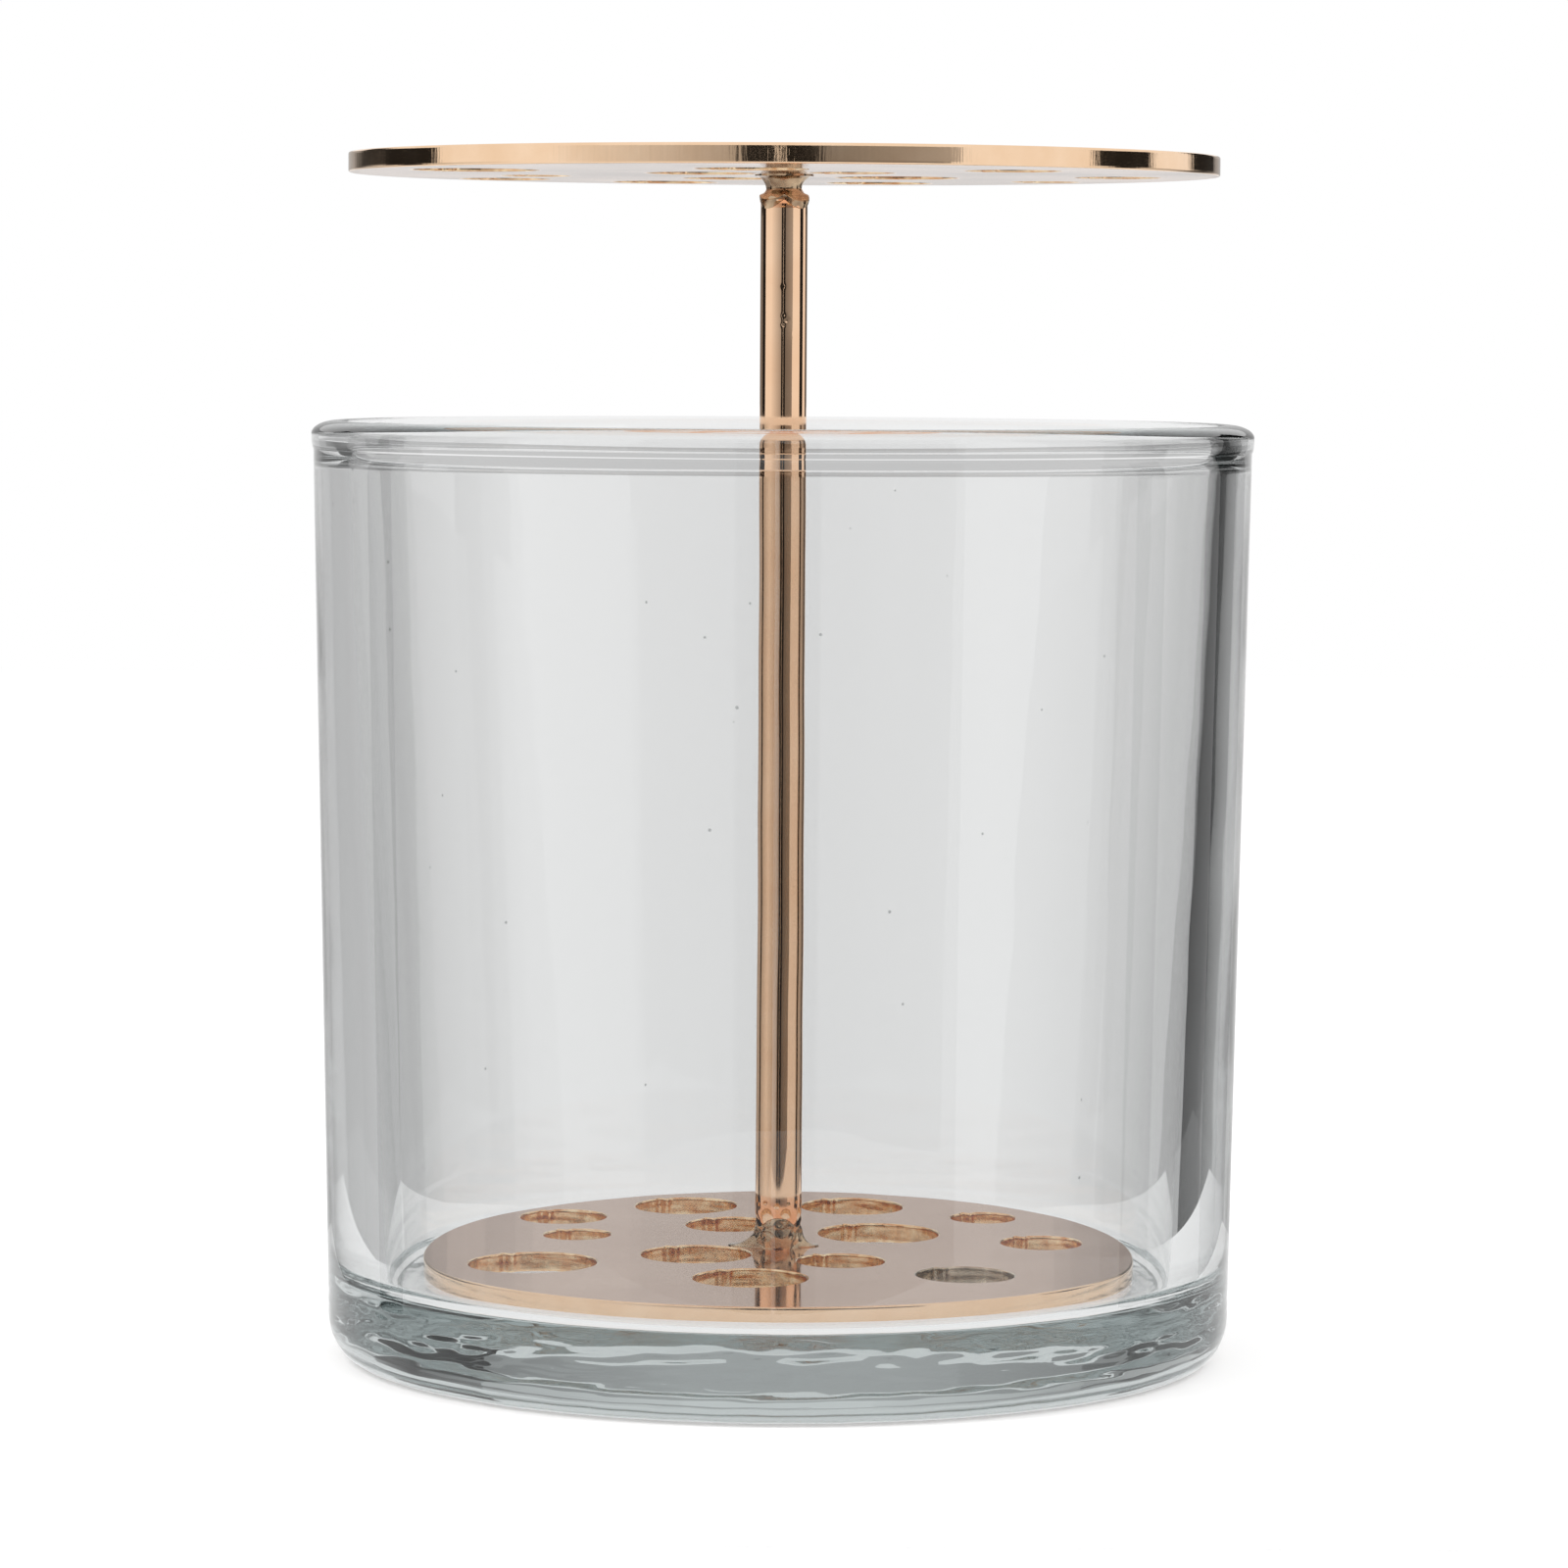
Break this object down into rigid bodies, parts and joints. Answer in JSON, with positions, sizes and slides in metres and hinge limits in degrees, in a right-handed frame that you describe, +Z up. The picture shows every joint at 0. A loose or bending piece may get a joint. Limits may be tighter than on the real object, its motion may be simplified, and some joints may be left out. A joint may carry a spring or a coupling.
{
  "type": "hydroponic glass vase",
  "caption": "Clear glass tumbler vase with a heavy base and a lift-out copper-plated flower frog: drilled discs on a stem that hold cut stems upright in water.",
  "frame": {"origin": "under the middle of the glass base, on the surface that the vase stands on", "axes": "+Z up along the stem and the axis of the glass, +X to the right and +Y to the back as seen in the picture"},
  "size_m": [0.12, 0.12, 0.154],
  "materials": {
    "clear_glass": "polished",
    "satin_copper_plate": "satin",
    "polished_copper_plate": "polished",
    "welded_copper_plate": "satin"
  },
  "bodies": {
    "vase": {"glass_vase": "clear_glass"},
    "flower_frog": {"lower_disc": "satin_copper_plate", "lower_weld_bead": "welded_copper_plate", "stem_rod": "polished_copper_plate", "upper_weld_bead": "welded_copper_plate", "upper_disc": "satin_copper_plate"}
  },
  "joints": [
    {"name": "insert_lift", "type": "slide", "parent": "vase", "child": "flower_frog", "axis": [0, 0, 1], "range_m": [0, 0.125]}
  ]
}
